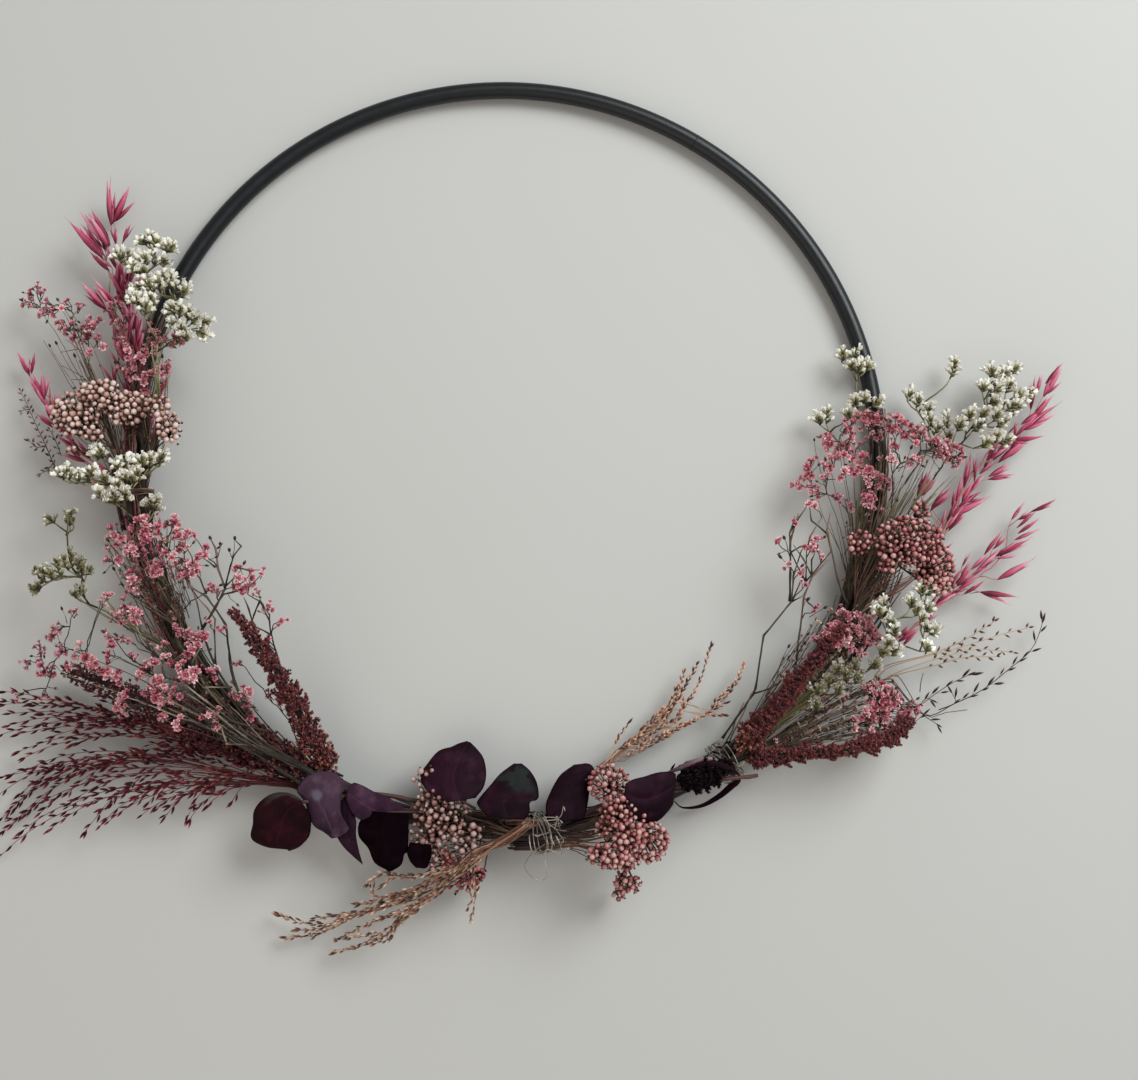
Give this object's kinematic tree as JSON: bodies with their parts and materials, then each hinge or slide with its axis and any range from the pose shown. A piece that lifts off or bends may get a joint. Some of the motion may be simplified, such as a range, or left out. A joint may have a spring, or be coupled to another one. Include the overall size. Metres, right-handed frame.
{
  "type": "door wreath",
  "caption": "Asymmetric dried-flower wreath: a slim black metal hoop, bare at the top, with wired bunches of grasses, small flowers and eucalyptus round its lower part.",
  "frame": {"origin": "Centre of the wreath's bounding box on the surface it lies on. The hoop's centre is -13.8 mm along X and 22.4 mm along Y from it.", "axes": "The wreath lies face up. +X points to the right arm, +Y to the bare top of the hoop, which is up when it hangs, and +Z out of its face."},
  "size_m": [0.412, 0.3448, 0.0493],
  "materials": {
    "hoop_enamel": "satin",
    "binding_wire": "satin",
    "oat_pink": "matte",
    "gypsophila_pink": "matte",
    "statice_white": "matte",
    "rice_flower_cream": "matte",
    "rice_flower_pink": "matte",
    "amaranth_red": "matte",
    "celosia_dark": "matte",
    "panic_grass_red": "matte",
    "grass_brown": "matte",
    "copper_grass": "satin",
    "eucalyptus_leaf": "satin",
    "eucalyptus_twig": "matte"
  },
  "bodies": {
    "root": {"amaranth_left_inner": "amaranth_red", "amaranth_left_outer": "amaranth_red", "amaranth_right_inner": "amaranth_red", "amaranth_right_outer": "amaranth_red", "binding_wire_centre": "binding_wire", "binding_wire_left_low": "binding_wire", "binding_wire_left_middle": "binding_wire", "binding_wire_left_top": "binding_wire", "binding_wire_right_low": "binding_wire", "binding_wire_right_top": "binding_wire", "celosia_right": "celosia_dark", "copper_grass_left_lower": "copper_grass", "copper_grass_left_upper": "copper_grass", "copper_grass_right": "copper_grass", "dark_grass_right": "grass_brown", "eucalyptus_leaf_a": "eucalyptus_leaf", "eucalyptus_leaf_b": "eucalyptus_leaf", "eucalyptus_leaf_d": "eucalyptus_leaf", "eucalyptus_leaf_e": "eucalyptus_leaf", "eucalyptus_leaf_g": "eucalyptus_leaf", "eucalyptus_leaf_h": "eucalyptus_leaf", "eucalyptus_leaf_i": "eucalyptus_leaf", "eucalyptus_leaf_j": "eucalyptus_leaf", "eucalyptus_leaf_k": "eucalyptus_leaf", "eucalyptus_twig_left": "eucalyptus_twig", "eucalyptus_twig_right": "eucalyptus_twig", "gypsophila_left_bare": "gypsophila_pink", "gypsophila_left_inner": "gypsophila_pink", "gypsophila_left_low_inner": "gypsophila_pink", "gypsophila_left_low_outer": "gypsophila_pink", "gypsophila_left_middle": "gypsophila_pink", "gypsophila_left_outer": "gypsophila_pink", "gypsophila_left_slim": "gypsophila_pink", "gypsophila_right_inner": "gypsophila_pink", "gypsophila_right_low": "gypsophila_pink", "gypsophila_right_middle": "gypsophila_pink", "gypsophila_right_outer": "gypsophila_pink", "gypsophila_right_tall": "gypsophila_pink", "hoop": "hoop_enamel", "oat_left_outer": "oat_pink", "oat_left_second": "oat_pink", "oat_left_tall": "oat_pink", "oat_right_lower": "oat_pink", "oat_right_upper": "oat_pink", "panic_grass_left_bottom": "panic_grass_red", "panic_grass_left_lower": "panic_grass_red", "panic_grass_left_upper": "panic_grass_red", "rice_flower_centre_left": "rice_flower_cream", "rice_flower_centre_low": "rice_flower_pink", "rice_flower_centre_right": "rice_flower_pink", "rice_flower_left_inner": "rice_flower_cream", "rice_flower_left_outer": "rice_flower_cream", "rice_flower_right": "rice_flower_pink", "statice_left_low": "statice_white", "statice_left_middle": "statice_white", "statice_left_top": "statice_white", "statice_right_inner": "statice_white", "statice_right_low": "statice_white", "statice_right_outer": "statice_white", "statice_right_top": "statice_white"}
  },
  "joints": []
}
